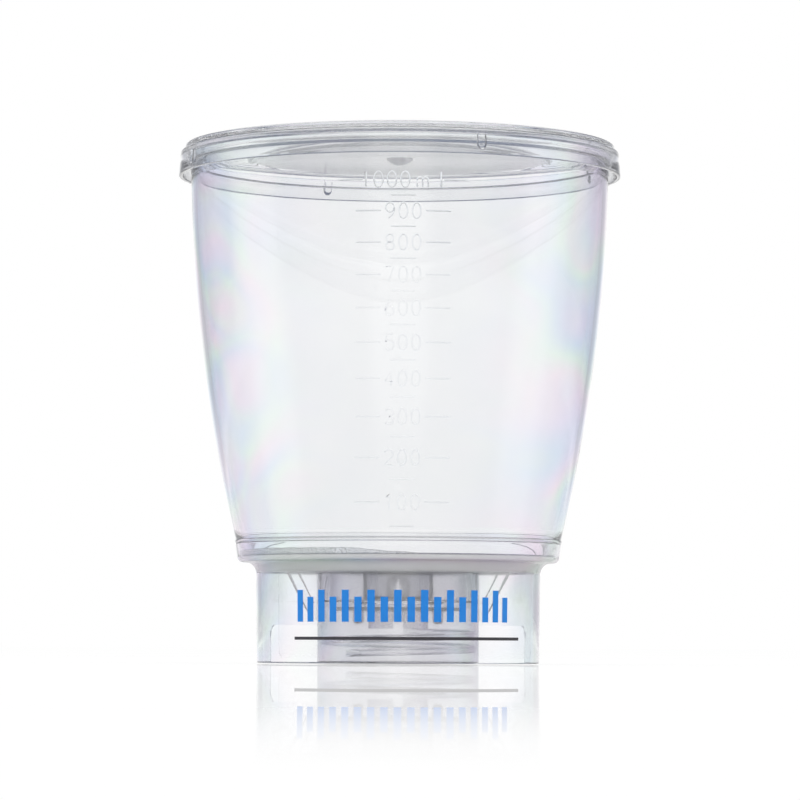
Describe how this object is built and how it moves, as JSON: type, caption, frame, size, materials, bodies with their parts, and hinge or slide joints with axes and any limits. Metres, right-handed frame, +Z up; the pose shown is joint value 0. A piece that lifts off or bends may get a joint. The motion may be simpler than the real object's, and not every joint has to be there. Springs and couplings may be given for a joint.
{
  "type": "bottle-top vacuum filter",
  "caption": "Clear bottle-top vacuum filter: graduated funnel with lift-off lid over a membrane, on a base with a threaded neck, label and barbed hose connector.",
  "frame": {"origin": "centre of the footprint, on the plane of the skirt's foot", "axes": "+Z up along the neck and funnel axis, +Y out along the hose connector at the back, label facing -Y"},
  "size_m": [0.1316, 0.1316, 0.1538],
  "materials": {
    "base_clear": "clear polystyrene",
    "funnel_clear": "clear polystyrene",
    "membrane": "white filter membrane",
    "glue": "clear cured glue with fine bubbles",
    "label_film": "clear self-adhesive film",
    "gasket": "translucent silicone",
    "connector_clear": "clear polystyrene",
    "lid_clear": "clear polystyrene"
  },
  "bodies": {
    "filter": {"base": "base_clear", "funnel": "funnel_clear", "membrane": "membrane", "glue_bead": "glue", "label": "label_film", "neck_gasket": "gasket", "hose_connector": "connector_clear"},
    "lid": {"lid": "lid_clear"}
  },
  "joints": [
    {"name": "lid_lift", "type": "slide", "parent": "filter", "child": "lid", "axis": [0, 0, 1], "range_m": [0, 0.04]}
  ]
}
